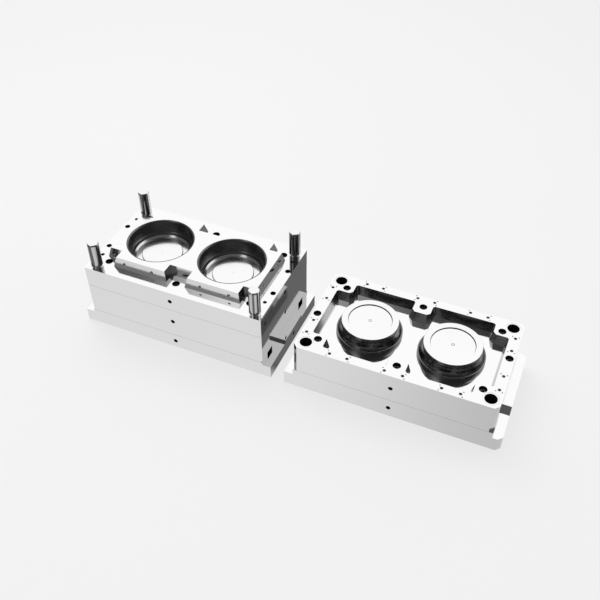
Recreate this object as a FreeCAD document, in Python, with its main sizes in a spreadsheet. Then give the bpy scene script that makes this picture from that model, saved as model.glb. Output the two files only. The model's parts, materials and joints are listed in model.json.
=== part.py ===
import FreeCAD, Part
import math
import os
import Sketcher

# Two-cavity mould base, lying open: the cavity half on the left and the core
# half on the right, both resting on their clamp plates, mating faces upward.
# Millimetres, +Z up, origin on the floor midway between the two halves.

doc = FreeCAD.newDocument("mould_base")
sheet = doc.addObject("Spreadsheet::Sheet", "dims")


class Size:
    """A number that remembers the sheet expression it came from."""

    def __init__(self, text, number):
        self.text = text
        self.number = number

    @staticmethod
    def of(value):
        return value if isinstance(value, Size) else Size(repr(float(value)), float(value))

    def __add__(self, other):
        other = Size.of(other)
        return Size("(%s + %s)" % (self.text, other.text), self.number + other.number)

    def __sub__(self, other):
        other = Size.of(other)
        return Size("(%s - %s)" % (self.text, other.text), self.number - other.number)

    def __mul__(self, other):
        other = Size.of(other)
        return Size("(%s * %s)" % (self.text, other.text), self.number * other.number)

    def __truediv__(self, other):
        other = Size.of(other)
        return Size("(%s / %s)" % (self.text, other.text), self.number / other.number)

    def __radd__(self, other):
        return Size.of(other) + self

    def __rsub__(self, other):
        return Size.of(other) - self

    def __rmul__(self, other):
        return Size.of(other) * self

    def __neg__(self):
        return Size("(-1 * %s)" % self.text, -self.number)


row = 0


def dim(alias, value, note):
    """One driving dimension in the sheet."""
    global row
    row += 1
    sheet.set("A%d" % row, note)
    sheet.set("B%d" % row, repr(value))
    sheet.setAlias("B%d" % row, alias)
    return Size("dims." + alias, float(value))


length = dim("plate_length", 600, "mould body length")
width = dim("plate_width", 350, "mould body width")
flange = dim("clamp_flange", 28, "clamp plate overhang at each end")
pitch = dim("half_pitch", 700, "distance between the two open halves")
clamp_a = dim("cavity_clamp_thick", 54, "cavity clamp plate thickness")
plate_b = dim("manifold_plate_thick", 106, "manifold plate thickness")
plate_a = dim("cavity_plate_thick", 70, "cavity plate thickness without the island")
clamp_c = dim("core_clamp_thick", 68, "core clamp plate thickness")
plate_c = dim("core_plate_thick", 100, "core plate thickness")
chamfer_a = dim("cavity_corner", 4, "corner chamfer of the cavity half")
chamfer_c = dim("core_corner", 13, "corner chamfer of the core half")
clamp_drop = dim("clamp_rebate", 10, "cavity clamp flange rebate depth")
clamp_mid = dim("clamp_full_half", 62, "half length of the full-height flange zone")
core_drop = dim("core_rebate", 20, "core clamp flange rebate depth")
island_h = dim("island_height", 32, "height of the tapered island and depth of its pocket")
draft = dim("lock_draft", 14, "taper of the island and pocket walls in degrees")
isl_x = dim("island_half_length", 257.5, "island half length at its foot")
isl_y = dim("island_half_width", 134, "island half width at its foot")
pkt_x = dim("pocket_half_length", 267, "pocket half length at the mating face")
pkt_y = dim("pocket_half_width", 145, "pocket half width at the mating face")
notch_x = dim("notch_corner_x", 216, "corner notch start along the length")
notch_y = dim("notch_y", 99, "notch start across the width")
notch_m = dim("notch_mid_half", 31, "half width of the middle notch at its foot")
boss_x = dim("boss_corner_x", 219, "corner boss start along the length")
boss_y = dim("boss_y", 101, "boss start across the width")
boss_m = dim("boss_mid_half", 28, "half width of the middle boss")
boss_c = dim("boss_corner", 9, "boss corner chamfer")
cav_x = dim("cavity_offset", 125, "cavity axis from the centre")
cav_r = dim("cavity_radius", 101.5, "cavity mouth radius")
cav_d = dim("cavity_depth", 52, "cavity depth from the island top")
core_k = dim("core_height", 48, "core height above the pocket floor")
core_r = dim("core_top_radius", 84, "core top radius")
core_foot = dim("core_foot_radius", 94, "core foot radius")
ring_r = dim("ring_radius", 98.5, "stripper ring outer radius")
ring_lip = dim("ring_lip", 12, "stripper ring height above the pocket floor")
ring_deep = dim("ring_depth", 22, "stripper ring depth below the pocket floor")
pin_x = dim("pillar_x", 270, "guide pillar from the centre, lengthwise")
pin_y = dim("pillar_y", 145, "guide pillar from the centre, crosswise")
pin_r = dim("pillar_radius", 17.5, "guide pillar radius")
pin_out = dim("pillar_reach", 83, "guide pillar length above the cavity plate")
fit = dim("pillar_clearance", 0.03, "radial clearance of pillar and bush")
screw_x = dim("screw_x", 242.5, "corner cap screw from the centre, lengthwise")
screw_y = dim("screw_y", 120, "corner cap screw from the centre, crosswise")
screw_m = dim("screw_mid_y", 130, "middle cap screw from the centre, crosswise")
pad_l = dim("pad_length", 66, "parting pad length")
pad_w = dim("pad_width", 18, "parting pad width")
pad_t = dim("pad_thick", 8, "parting pad thickness")
eye_r = dim("eyebolt_radius", 7, "tapping radius of the M16 lifting holes")
bolt_r = dim("bolt_radius", 7, "M14 cap screw shank radius")
bolt_head = dim("bolt_head_radius", 10.5, "M14 cap screw head radius")
bolt_clear = dim("bolt_clearance", 7.75, "clearance hole radius of an M14 screw")
bolt_tap = dim("bolt_tapping", 7.03, "tapped hole radius, threads drawn as plain cylinders")
bolt_sink = dim("bolt_counterbore", 12, "counterbore radius of an M14 screw")
bolt_deep = dim("bolt_counterbore_depth", 24, "counterbore depth in the mating faces")
corner_cut = dim("pocket_corner", 5, "corner cut of the pocket")

FACE_A = clamp_a + plate_b + plate_a
SEAM_A = clamp_a + plate_b
ISLAND_TOP = FACE_A + island_h
FACE_C = clamp_c + plate_c
POCKET_FLOOR = FACE_C - island_h
CORNERS = [(-1, -1), (1, -1), (1, 1), (-1, 1)]
SHRINK = math.tan(math.radians(14)) * 32

AXES = {"top": ("XY_Plane", 1), "bottom": ("XY_Plane", -1),
        "front": ("XZ_Plane", 1), "back": ("XZ_Plane", -1),
        "right": ("YZ_Plane", 1), "left": ("YZ_Plane", -1)}
parts = []


def new_body(label, at_core=False):
    """A PartDesign body, drawn about the centre of its own half of the mould."""
    body = doc.addObject("PartDesign::Body", label)
    body.Label = label
    body.AllowCompound = True
    centre = pitch / 2 if at_core else -pitch / 2
    body.setExpression("Placement.Base.x", centre.text)
    parts.append(body)
    return body


def bind(sketch, constraint, size):
    """Ties one sketch constraint to the sheet."""
    index = sketch.addConstraint(constraint)
    if isinstance(size, Size):
        sketch.setExpression("Constraints[%d]" % index, size.text)
    return index


def place_point(sketch, item, point, x, y):
    """Holds a point of the sketch at x, y."""
    for kind, value, axis in (("DistanceX", Size.of(x), -2), ("DistanceY", Size.of(y), -1)):
        if abs(value.number) < 1e-9:
            sketch.addConstraint(Sketcher.Constraint("PointOnObject", item, point, axis))
        else:
            bind(sketch, Sketcher.Constraint(kind, -1, 1, item, point, value.number), value)


def draw_loop(sketch, points):
    """A closed outline through the given corners."""
    flat = [FreeCAD.Vector(Size.of(x).number, Size.of(y).number, 0) for x, y in points]
    first = sketch.GeometryCount
    for i, start in enumerate(flat):
        sketch.addGeometry(Part.LineSegment(start, flat[(i + 1) % len(flat)]), False)
    for i in range(len(flat)):
        after = first + (i + 1) % len(flat)
        sketch.addConstraint(Sketcher.Constraint("Coincident", first + i, 2, after, 1))
    for i, (x, y) in enumerate(points):
        place_point(sketch, first + i, 1, x, y)


def draw_rounds(sketch, centres, radius):
    """Equal circles at the given centres."""
    radius = Size.of(radius)
    for x, y in centres:
        centre = FreeCAD.Vector(Size.of(x).number, Size.of(y).number, 0)
        item = sketch.addGeometry(
            Part.Circle(centre, FreeCAD.Vector(0, 0, 1), radius.number), False)
        place_point(sketch, item, 3, x, y)
        bind(sketch, Sketcher.Constraint("Radius", item, radius.number), radius)


def new_sketch(body, side, level, across=0):
    """A sketch on the origin plane facing one side, moved to a level."""
    role, sign = AXES[side]
    sketch = body.newObject("Sketcher::SketchObject", "Sketch")
    plane = [item for item in body.Origin.OriginFeatures if item.Role == role][0]
    sketch.AttachmentSupport = (plane, [""])
    sketch.MapMode = "FlatFace"
    level = Size.of(level)
    sketch.setExpression("AttachmentOffset.Base.z", (level if role != "XZ_Plane" else -level).text)
    if across != 0:
        sketch.setExpression("AttachmentOffset.Base.x", Size.of(across).text)
    return sketch


def pull(kind, body, side, level, depth, loops=(), rounds=(), radius=None, taper=None):
    """Pads outward from, or cuts inward at, one side at the given level."""
    sketch = new_sketch(body, side, level)
    for points in loops:
        draw_loop(sketch, points)
    if rounds:
        draw_rounds(sketch, rounds, radius)
    feature = body.newObject("PartDesign::" + kind, kind)
    feature.Profile = sketch
    feature.setExpression("Length", Size.of(depth).text)
    feature.Reversed = AXES[side][1] < 0
    if taper is not None:
        feature.setExpression("TaperAngle", taper.text)
    return feature


def pad(body, side, level, depth, **shape):
    return pull("Pad", body, side, level, depth, **shape)


def cut(body, side, level, depth, **shape):
    return pull("Pocket", body, side, level, depth, **shape)


def turn(kind, body, profile, across=0):
    """Turns a profile (radius, height) round an upright axis."""
    sketch = new_sketch(body, "front", 0, across)
    draw_loop(sketch, profile)
    feature = body.newObject("PartDesign::" + kind, kind)
    feature.Profile = sketch
    feature.ReferenceAxis = (sketch, ["V_Axis"])
    feature.Angle = 360
    return feature


def oblong(half_x, half_y, x=0, y=0):
    return [(x - half_x, y - half_y), (x + half_x, y - half_y),
            (x + half_x, y + half_y), (x - half_x, y + half_y)]


def clipped(half_x, half_y, corner):
    """A rectangle about the centre with its four corners cut off."""
    points = []
    for i, (sx, sy) in enumerate(CORNERS):
        ends = [(sx * (half_x - corner), sy * half_y), (sx * half_x, sy * (half_y - corner))]
        points += ends if i % 2 else ends[::-1]
    return points


def hexagon(x, y, reach):
    """A hexagon socket outline."""
    return [(x + reach * math.cos(math.radians(60 * i)), y + reach * math.sin(math.radians(60 * i)))
            for i in range(6)]


def four(x, y):
    return [(sx * x, sy * y) for sx, sy in CORNERS]


def cap_screws(label, centres, seat, point, head_r=None, head_h=14, shank_r=None,
               down=1, at_core=False):
    """Socket cap screws: head standing on the seat, shank reaching to the point."""
    head_r = bolt_head if head_r is None else head_r
    shank_r = bolt_r if shank_r is None else shank_r
    body = new_body(label, at_core)
    side = "top" if down > 0 else "bottom"
    pad(body, side, seat, head_h, rounds=centres, radius=head_r)
    other = "bottom" if down > 0 else "top"
    pad(body, other, seat, (seat - point) if down > 0 else (point - seat),
        rounds=centres, radius=shank_r)
    top = seat + down * head_h
    sockets = [hexagon(x, y, head_r * 0.55) for x, y in centres]
    cut(body, side, top, head_h * 0.5, loops=sockets)
    return body


def lifting_holes(body, middle, reach_x, reach_y, deep):
    """One tapped eyebolt hole in the middle of each side of a plate."""
    cut(body, "front", -reach_y, deep, rounds=[(0, middle)], radius=eye_r)
    cut(body, "back", reach_y, deep, rounds=[(0, middle)], radius=eye_r)
    cut(body, "right", reach_x, deep, rounds=[(0, middle)], radius=eye_r)
    cut(body, "left", -reach_x, deep, rounds=[(0, middle)], radius=eye_r)


def lock_outline(half_x, half_y, nx, ny, nm, corner):
    """Outline stepped in at the four corners and at the middle of both long sides."""
    quarter = [(nm, ny), (nm, half_y), (nx, half_y), (nx, ny), (half_x, ny)]
    if corner:
        quarter = [(nm - corner, ny), (nm, ny + corner), (nm, half_y - corner_cut),
                   (nm + corner_cut, half_y), (nx - corner_cut, half_y),
                   (nx, half_y - corner_cut), (nx, ny + corner), (nx + corner, ny),
                   (half_x - corner_cut, ny), (half_x, ny - corner_cut)]
    points = [(x, y) for x, y in quarter]
    points += [(x, -y) for x, y in quarter[::-1]]
    points += [(-x, -y) for x, y in quarter]
    points += [(-x, y) for x, y in quarter[::-1]]
    return points


half_l = length / 2
half_w = width / 2
corner_screws = four(screw_x, screw_y)
face_screws = corner_screws + [(0, screw_m), (0, -screw_m)]
pillars = four(pin_x, pin_y)
cavities = [(-cav_x, 0), (cav_x, 0)]
foot_screws = four(length * 0.4, width * 0.22) + [(0, width * 0.4), (0, -width * 0.4)]
lock_holes = four(286, 54)
dowels = four(280, 99)
island_bolts = four(234, 34) + [(0, 60), (0, -60)]
pry_slots = [oblong(14, 17, sx * (half_l - 8), sy * 119) for sx, sy in CORNERS]
wall_mid = FACE_A + island_h / 2
wear_x = length * 0.2175
wear_half = length * 0.105

# ---- cavity half -------------------------------------------------------

floor_z = ISLAND_TOP - cav_d
cavity_form = [
    (0, ISLAND_TOP + 1), (cav_r + 2.5, ISLAND_TOP + 1), (cav_r + 2.5, ISLAND_TOP),
    (cav_r, ISLAND_TOP - 3), (cav_r - 2.5, ISLAND_TOP - 17), (cav_r - 5, ISLAND_TOP - 18.5),
    (cav_r - 8, floor_z + 14), (cav_r - 11, floor_z + 12), (cav_r - 13.5, floor_z + 5),
    (cav_r - 19, floor_z), (65, floor_z), (63, floor_z + 4), (0, floor_z + 4)]

# Cavity plate: the rim under the island, with the floors of the two cavities.
body = new_body("cavity_plate")
pad(body, "top", SEAM_A, plate_a, loops=[clipped(half_l, half_w, chamfer_a)])
for side in (-cav_x, cav_x):
    turn("Groove", body, cavity_form, side)
cut(body, "bottom", SEAM_A, 14, rounds=island_bolts, radius=10)
cut(body, "bottom", SEAM_A, plate_a, rounds=island_bolts, radius=6.6)
cut(body, "bottom", SEAM_A, 36, rounds=cavities, radius=20)
cut(body, "bottom", SEAM_A + 36, 8, rounds=cavities, radius=9)
cut(body, "bottom", SEAM_A + 44, 12, rounds=cavities, radius=1.5)
cut(body, "bottom", SEAM_A, plate_a, rounds=pillars, radius=21)
cut(body, "bottom", SEAM_A, 8, rounds=pillars, radius=24)
cut(body, "top", FACE_A, bolt_deep, rounds=face_screws, radius=bolt_sink)
cut(body, "top", FACE_A, plate_a, rounds=face_screws, radius=bolt_clear)
cut(body, "top", FACE_A, 30, rounds=lock_holes, radius=8.5)
cut(body, "top", FACE_A, plate_a, rounds=dowels, radius=6)
lifting_holes(body, SEAM_A + plate_a / 2, half_l, half_w, 27)
cut(body, "back", half_w, width * 0.72, rounds=[(x, SEAM_A + 25) for x in (-180, -70, 70, 180)],
    radius=5)
cut(body, "left", -half_l, length * 0.8 + 5, rounds=[(-76, SEAM_A + 25)], radius=5)
cut(body, "left", -half_l, 14, rounds=[(-76, SEAM_A + 25)], radius=7)

# Tapered island: the block that carries the cavity walls and locks into the pocket.
body = new_body("cavity_island")
pad(body, "top", FACE_A, island_h, taper=-draft,
    loops=[lock_outline(isl_x, isl_y, notch_x, notch_y, notch_m, 0)])
for side in (-cav_x, cav_x):
    turn("Groove", body, cavity_form, side)
cut(body, "bottom", FACE_A, 24, rounds=island_bolts, radius=6.03)
slope = SHRINK / 32
low = FACE_A + 5
high = FACE_A + 27
for sign in (-1, 1):
    face = [(sign * (isl_y - 5 * slope), low), (sign * (isl_y - 27 * slope), high),
            (sign * (isl_y - 27 * slope - 8), high), (sign * (isl_y - 5 * slope - 8), low)]
    for middle in (-wear_x, wear_x):
        sketch = new_sketch(body, "right", middle + wear_half)
        draw_loop(sketch, face)
        feature = body.newObject("PartDesign::Pocket", "WearSeat")
        feature.Profile = sketch
        feature.setExpression("Length", (wear_half * 2).text)
    face = [(sign * (isl_x - 5 * slope), low), (sign * (isl_x - 27 * slope), high),
            (sign * (isl_x - 27 * slope - 8), high), (sign * (isl_x - 5 * slope - 8), low)]
    cut(body, "front", -70, 140, loops=[face])
wear_screw_x = [sign * wear_x + step * 48 for sign in (-1, 1) for step in (-1, 1)]
cut(body, "front", -isl_y, 26, rounds=[(x, wall_mid) for x in wear_screw_x], radius=3)
cut(body, "back", isl_y, 26, rounds=[(x, wall_mid) for x in wear_screw_x], radius=3)
cut(body, "right", isl_x, 26, rounds=[(-52, wall_mid), (52, wall_mid)], radius=3)
cut(body, "left", -isl_x, 26, rounds=[(-52, wall_mid), (52, wall_mid)], radius=3)

# Wear plates let into the tapered island walls.
body = new_body("wear_plates_long")
for sign in (-1, 1):
    face = [(sign * (isl_y - 5 * slope), low), (sign * (isl_y - 27 * slope), high),
            (sign * (isl_y - 27 * slope - 8), high), (sign * (isl_y - 5 * slope - 8), low)]
    for middle in (-wear_x, wear_x):
        pad(body, "right", middle - wear_half, wear_half * 2, loops=[face])
for side in ("front", "back"):
    level = -isl_y if side == "front" else isl_y
    cut(body, side, level, 20, rounds=[(x, wall_mid) for x in wear_screw_x], radius=3.2)
    cut(body, side, level, 9, rounds=[(x, wall_mid) for x in wear_screw_x], radius=5)
body = new_body("wear_plates_end")
for sign in (-1, 1):
    face = [(sign * (isl_x - 5 * slope), low), (sign * (isl_x - 27 * slope), high),
            (sign * (isl_x - 27 * slope - 8), high), (sign * (isl_x - 5 * slope - 8), low)]
    pad(body, "front", 70, 140, loops=[face])
for side in ("left", "right"):
    level = -isl_x if side == "left" else isl_x
    cut(body, side, level, 20, rounds=[(-52, wall_mid), (52, wall_mid)], radius=3.2)
    cut(body, side, level, 9, rounds=[(-52, wall_mid), (52, wall_mid)], radius=5)
body = new_body("wear_plate_screws")
for side, reach in (("front", isl_y), ("back", isl_y), ("left", isl_x), ("right", isl_x)):
    outward = -1 if side in ("front", "left") else 1
    spots = [(x, wall_mid) for x in (wear_screw_x if side in ("front", "back") else (-52, 52))]
    pad(body, side, outward * (reach - 9), 3, rounds=spots, radius=4.8)
    back_side = {"front": "back", "back": "front", "left": "right", "right": "left"}[side]
    pad(body, back_side, outward * (reach - 9), 15, rounds=spots, radius=2.9)

# Manifold plate with its pocket for the hot-runner manifold.
body = new_body("manifold_plate")
pad(body, "top", clamp_a, plate_b, loops=[clipped(half_l, half_w, chamfer_a)])
cut(body, "bottom", clamp_a, 58, loops=[oblong(170, 42)])
cut(body, "bottom", clamp_a + 58, plate_b, rounds=cavities, radius=20)
cut(body, "top", SEAM_A, 36, rounds=face_screws, radius=bolt_tap)
cut(body, "top", SEAM_A, 30, rounds=dowels, radius=6)
cut(body, "bottom", clamp_a, 36, rounds=foot_screws, radius=bolt_tap)
cut(body, "left", -half_l, 132, rounds=[(0, clamp_a + 30)], radius=9)
lifting_holes(body, clamp_a + plate_b * 0.54, half_l, half_w, 27)
cut(body, "bottom", clamp_a, 5, loops=pry_slots)

# Cavity clamp plate: its end flanges are rebated beside a full-height middle.
body = new_body("cavity_clamp_plate")
pad(body, "top", 0, clamp_a, loops=[oblong(half_l + flange, half_w)])
for sx in (-1, 1):
    for sy in (-1, 1):
        cut(body, "top", clamp_a, clamp_drop, loops=[
            oblong(flange / 2, (half_w - clamp_mid) / 2 + 1,
                   sx * (half_l + flange / 2), sy * ((half_w + clamp_mid) / 2 + 1))])
cut(body, "top", clamp_a, clamp_drop, loops=pry_slots)
cut(body, "bottom", 0, 14, rounds=[(0, 0)], radius=55)
cut(body, "bottom", 14, clamp_a, rounds=[(0, 0)], radius=24)
cut(body, "bottom", 0, 16, rounds=foot_screws, radius=bolt_sink)
cut(body, "bottom", 0, clamp_a, rounds=foot_screws, radius=bolt_clear)
cut(body, "bottom", 14, 18, rounds=four(28, 28), radius=2.5)
cut(body, "front", -half_w, 27, rounds=[(0, clamp_a / 2)], radius=eye_r)
cut(body, "back", half_w, 27, rounds=[(0, clamp_a / 2)], radius=eye_r)
cut(body, "right", half_l + flange, 27, rounds=[(0, clamp_a * 0.55)], radius=eye_r)
cut(body, "left", -half_l - flange, 27, rounds=[(0, clamp_a * 0.55)], radius=eye_r)

# Guide pillars: collar under the cavity plate, ground pin above it.
body = new_body("guide_pillars")
pad(body, "top", SEAM_A, 8, rounds=pillars, radius=23.9)
pad(body, "top", SEAM_A, plate_a, rounds=pillars, radius=21)
pad(body, "top", FACE_A, pin_out - 4, rounds=pillars, radius=pin_r)
pad(body, "top", FACE_A + pin_out - 4, 4, rounds=pillars, radius=pin_r - 0.2,
    taper=Size.of(-25))

cap_screws("cavity_plate_screws", face_screws, FACE_A - bolt_deep, SEAM_A - 30)
cap_screws("cavity_clamp_screws", foot_screws, Size.of(16), clamp_a + 30, down=-1)
cap_screws("island_screws", island_bolts, SEAM_A + 14, FACE_A + 20, Size.of(9), 12, 6, -1)
body = new_body("cavity_dowels")
pad(body, "top", SEAM_A - 28, plate_a + 22, rounds=dowels, radius=6)

# Hot-runner manifold, its supports, nozzles and the sprue bush.
body = new_body("manifold")
pad(body, "top", clamp_a + 6, 44, loops=[clipped(Size.of(160), Size.of(32), Size.of(10))])
cut(body, "left", -160, 320, rounds=[(0, clamp_a + 28)], radius=6)
cut(body, "bottom", clamp_a + 6, 22, rounds=[(0, 0)], radius=5)
cut(body, "top", clamp_a + 50, 22, rounds=cavities, radius=5)
body = new_body("manifold_plugs")
pad(body, "left", -146, 13, rounds=[(0, clamp_a + 28)], radius=6)
pad(body, "right", 146, 13, rounds=[(0, clamp_a + 28)], radius=6)
body = new_body("manifold_supports")
pad(body, "top", clamp_a, 6, rounds=[(-125, 0), (125, 0), (-60, 0), (60, 0)], radius=14)
pad(body, "top", clamp_a + 50, 8, rounds=[(0, 0)], radius=20)
body = new_body("hot_runner_nozzles")
pad(body, "top", clamp_a + 50, 8, rounds=cavities, radius=18)
pad(body, "top", clamp_a + 58, 76, rounds=cavities, radius=15)
pad(body, "top", clamp_a + 134, 10, rounds=cavities, radius=8.9)
pad(body, "top", clamp_a + 144, 5.5, rounds=cavities, radius=7.5, taper=Size.of(-40))
cut(body, "bottom", clamp_a + 50, 92, rounds=cavities, radius=5)
body = new_body("sprue_bush")
pad(body, "top", 14, clamp_a - 8, rounds=[(0, 0)], radius=23.7)
cut(body, "bottom", 14, clamp_a, rounds=[(0, 0)], radius=4)
cut(body, "bottom", 14, 5, rounds=[(0, 0)], radius=14)
body = new_body("locating_ring")
pad(body, "top", 0, 14, rounds=[(0, 0)], radius=54.9)
cut(body, "bottom", 0, 14, rounds=[(0, 0)], radius=22)
cut(body, "bottom", 0, 14, rounds=four(28, 28), radius=3.4)
cut(body, "bottom", 0, 7, rounds=four(28, 28), radius=6)
cap_screws("locating_ring_screws", four(28, 28), Size.of(7), Size.of(30), Size.of(5), 6, 2.5, -1)

# ---- core half ---------------------------------------------------------

pads_long = [(x, sy * 161) for sy in (-1, 1) for x in (-164, 0, 164)]
pads_end = [(sx * 284, y) for sx in (-1, 1) for y in (-79, 79)]
pad_corners = [(x + sx * pad_l / 2, y + sy * pad_w / 2) for x, y in pads_long for sx, sy in CORNERS]
pad_corners += [(x + sx * pad_w / 2, y + sy * pad_l / 2) for x, y in pads_end for sx, sy in CORNERS]
pad_holes = [(x + step * 26.5, y) for x, y in pads_long for step in (-1, 1)]
pad_holes += [(x, y + step * 26.5) for x, y in pads_end for step in (-1, 1)]
rim_screws = [(-284.5, -21), (284.5, 21)]
core_screws_at = [(sx * cav_x + dx, dy) for sx in (-1, 1) for dx, dy in four(42, 42)]

# Core plate: tapered pocket with screw bosses, core seats and bush bores.
body = new_body("core_plate", True)
pad(body, "top", clamp_c, plate_c, loops=[clipped(half_l, half_w, chamfer_c)])
cut(body, "top", FACE_C, island_h, taper=-draft,
    loops=[lock_outline(pkt_x, pkt_y, boss_x, boss_y, boss_m, boss_c)])
cut(body, "top", POCKET_FLOOR, ring_deep, rounds=cavities, radius=ring_r + 0.3)
cut(body, "top", POCKET_FLOOR - ring_deep, plate_c, rounds=cavities, radius=78)
cut(body, "top", FACE_C, plate_c, rounds=pillars, radius=23)
cut(body, "top", FACE_C, bolt_deep, rounds=face_screws + rim_screws, radius=bolt_sink)
cut(body, "top", FACE_C, plate_c, rounds=face_screws + rim_screws, radius=bolt_clear)
cut(body, "top", FACE_C, pad_t, loops=[oblong(pad_l / 2, pad_w / 2, x, y) for x, y in pads_long])
cut(body, "top", FACE_C, pad_t, loops=[oblong(pad_w / 2, pad_l / 2, x, y) for x, y in pads_end])
cut(body, "top", FACE_C, 26, rounds=pad_holes, radius=3)
cut(body, "top", FACE_C, pad_t, rounds=pad_corners, radius=2.2)
cut(body, "bottom", clamp_c, 5, loops=pry_slots)
lifting_holes(body, clamp_c + plate_c / 2, half_l, half_w, 27)

# Parting pads: the flat bearing strips on the rim and their screws.
body = new_body("parting_pads", True)
pad(body, "top", FACE_C - pad_t, pad_t,
    loops=[oblong(pad_l / 2, pad_w / 2, x, y) for x, y in pads_long])
pad(body, "top", FACE_C - pad_t, pad_t,
    loops=[oblong(pad_w / 2, pad_l / 2, x, y) for x, y in pads_end])
cut(body, "top", FACE_C, pad_t, rounds=pad_holes, radius=3.2)
cut(body, "top", FACE_C, 5, rounds=pad_holes, radius=5)
body = new_body("pad_screws", True)
pad(body, "top", FACE_C - 5, 3, rounds=pad_holes, radius=4.8)
pad(body, "bottom", FACE_C - 5, 18, rounds=pad_holes, radius=2.9)

cap_screws("core_plate_screws", face_screws + rim_screws, FACE_C - bolt_deep, clamp_c - 30,
           at_core=True)
body = new_body("guide_bushes", True)
pad(body, "top", clamp_c + 4, plate_c - 4, rounds=pillars, radius=23)
cut(body, "top", FACE_C, plate_c, rounds=pillars, radius=pin_r + fit)
cut(body, "top", FACE_C, 2, rounds=pillars, radius=pin_r + 0.6)

# Core clamp plate.
body = new_body("core_clamp_plate", True)
end = half_l + flange
pad(body, "top", 0, clamp_c, loops=[[
    (-end, -half_w), (end - chamfer_c, -half_w), (end, -half_w + chamfer_c),
    (end, half_w - chamfer_c), (end - chamfer_c, half_w), (-end, half_w)]])
for sx in (-1, 1):
    for sy in (-1, 1):
        cut(body, "top", clamp_c, core_drop, loops=[
            oblong(flange / 2 + 1, (half_w - clamp_mid) / 2 + 1,
                   sx * (half_l + flange / 2 + 1), sy * ((half_w + clamp_mid) / 2 + 1))])
cut(body, "top", clamp_c, clamp_drop, loops=pry_slots)
cut(body, "top", clamp_c, 32, rounds=face_screws + rim_screws, radius=bolt_tap)
cut(body, "bottom", 0, clamp_c, rounds=core_screws_at, radius=6.6)
cut(body, "bottom", 0, 14, rounds=core_screws_at, radius=10)
cut(body, "front", -half_w, 27, rounds=[(0, clamp_c / 2)], radius=eye_r)
cut(body, "back", half_w, 27, rounds=[(0, clamp_c / 2)], radius=eye_r)
cut(body, "right", half_l + flange, 27, rounds=[(0, clamp_c / 2)], radius=eye_r)
cut(body, "left", -half_l - flange, 27, rounds=[(0, clamp_c / 2)], radius=eye_r)
wells = [(sx * cav_x + dx, 0) for sx in (-1, 1) for dx in (-26, 26)]
cut(body, "back", half_w, half_w, rounds=[(x, clamp_c - 20) for x, y in wells], radius=5)
cut(body, "top", clamp_c, 24, rounds=wells, radius=7)
cut(body, "back", half_w, half_w, rounds=[(x, clamp_c - 20) for x, y in cavities], radius=4)
cut(body, "top", clamp_c, 26, rounds=cavities, radius=5)

# One core per cavity, each with a stripper ring round its foot and an air
# valve in the middle of its top.
top_z = POCKET_FLOOR + core_k
for name, axis in (("left", -cav_x), ("right", cav_x)):
    here = [(axis, 0)]
    body = new_body("core_" + name, True)
    turn("Revolution", body, [
        (0, clamp_c), (77.9, clamp_c), (77.9, POCKET_FLOOR - ring_deep),
        (core_foot, POCKET_FLOOR - ring_deep), (core_foot, POCKET_FLOOR + ring_lip),
        (core_foot - 3, POCKET_FLOOR + ring_lip + 3), (core_foot - 5.5, POCKET_FLOOR + 20),
        (core_foot - 7.2, POCKET_FLOOR + 27), (core_r + 2, POCKET_FLOOR + 34),
        (core_r + 1.5, POCKET_FLOOR + 38), (core_r, POCKET_FLOOR + 39),
        (core_r, POCKET_FLOOR + 43), (core_r + 0.8, POCKET_FLOOR + 43.5),
        (core_r + 0.8, top_z - 1), (core_r, top_z), (65.5, top_z), (64, top_z - 4),
        (0, top_z - 4)], axis)
    cut(body, "top", top_z - 4, 4, rounds=here, radius=4.4, taper=Size.of(-30))
    cut(body, "top", top_z - 4, 200, rounds=here, radius=2.6)
    cut(body, "bottom", clamp_c, 84, rounds=here, radius=9)
    cut(body, "bottom", clamp_c, 92, rounds=[(x, y) for x, y in wells
                                             if abs(Size.of(x - axis).number) < 60], radius=8)
    turn("Groove", body, [(66, clamp_c), (70, clamp_c), (70, clamp_c + 3), (66, clamp_c + 3)], axis)
    near = [(x, y) for x, y in core_screws_at if abs(Size.of(x - axis).number) < 60]
    cut(body, "bottom", clamp_c, 30, rounds=near, radius=6.03)

    body = new_body("stripper_ring_" + name, True)
    turn("Revolution", body, [
        (core_foot + 0.3, POCKET_FLOOR - ring_deep + 2), (ring_r, POCKET_FLOOR - ring_deep + 2),
        (ring_r, POCKET_FLOOR + ring_lip - 0.8), (ring_r - 0.8, POCKET_FLOOR + ring_lip),
        (core_foot + 0.3, POCKET_FLOOR + ring_lip)], axis)

    body = new_body("air_valve_" + name, True)
    turn("Revolution", body, [
        (0, clamp_c + 30), (6, clamp_c + 30), (6, clamp_c + 36), (2.2, clamp_c + 36),
        (2.2, top_z - 7.6), (3.9, top_z - 4.6), (3.9, top_z - 4), (0, top_z - 4)], axis)

cap_screws("core_screws", core_screws_at, Size.of(14), clamp_c + 24, Size.of(9), 12, 6, -1, True)

body = new_body("core_seals", True)
for axis in (-cav_x, cav_x):
    turn("Revolution", body, [(66.2, clamp_c), (69.8, clamp_c), (69.8, clamp_c + 2.8),
                              (66.2, clamp_c + 2.8)], axis)

for name, axis in (("left", -cav_x), ("right", cav_x)):
    body = new_body("valve_spring_" + name, True)
    for i in range(6):
        z = clamp_c + 36 + i * 8
        turn("Revolution", body, [(3.2, z), (7.5, z + 6.6), (7.5, z + 7.9), (3.2, z + 1.3)], axis)

body = new_body("core_baffles", True)
pad(body, "top", clamp_c - 18, 104,
    loops=[oblong(Size.of(1), Size.of(6.5), x, y) for x, y in wells])

body = new_body("cooling_plug")
pad(body, "left", -half_l + 13, 11, rounds=[(-76, SEAM_A + 25)], radius=6.9)

# ---- checks and output -------------------------------------------------

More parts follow.
